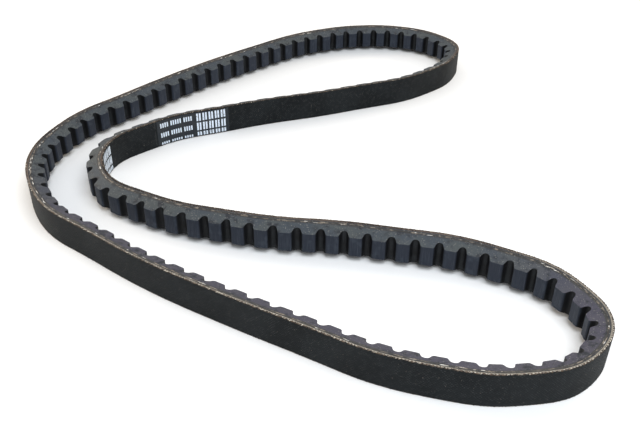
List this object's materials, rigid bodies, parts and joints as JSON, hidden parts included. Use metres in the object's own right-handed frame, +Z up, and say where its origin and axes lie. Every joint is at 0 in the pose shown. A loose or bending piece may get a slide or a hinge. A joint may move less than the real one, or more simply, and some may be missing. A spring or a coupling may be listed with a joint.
{
  "type": "cogged v belt",
  "caption": "Endless raw-edge V-belt with moulded cogs, laminated fabric back and cord, lying on its side in a horseshoe lay.",
  "frame": {"origin": "centre of the belt's outline in plan, on the surface that it lies on", "axes": "+Z up, across the belt's width; +Y along the lay's longest side, from the near lobe to the far lobe; +X out of the mouth of the horseshoe"},
  "size_m": [0.2076, 0.2736, 0.0127],
  "materials": {
    "back_fabric": "rubberised woven fabric, matte charcoal",
    "inner_fabric": "rubberised woven fabric, brown cut edge",
    "gum": "cut gum rubber",
    "polyester_cord": "twisted polyester cord",
    "compression_rubber": "ground fibre-loaded rubber, slate grey",
    "transfer_print": "thin printed film, blue-black with white bars"
  },
  "bodies": {
    "root": {"back_fabric_outer_ply": "back_fabric", "back_fabric_inner_ply": "inner_fabric", "overcord_gum": "gum", "undercord_gum": "gum", "tensile_cord_01": "polyester_cord", "tensile_cord_02": "polyester_cord", "tensile_cord_03": "polyester_cord", "tensile_cord_04": "polyester_cord", "tensile_cord_05": "polyester_cord", "tensile_cord_06": "polyester_cord", "tensile_cord_07": "polyester_cord", "tensile_cord_08": "polyester_cord", "tensile_cord_09": "polyester_cord", "cogged_compression_rubber": "compression_rubber", "long_transfer_label": "transfer_print", "short_transfer_label": "transfer_print"}
  },
  "joints": []
}
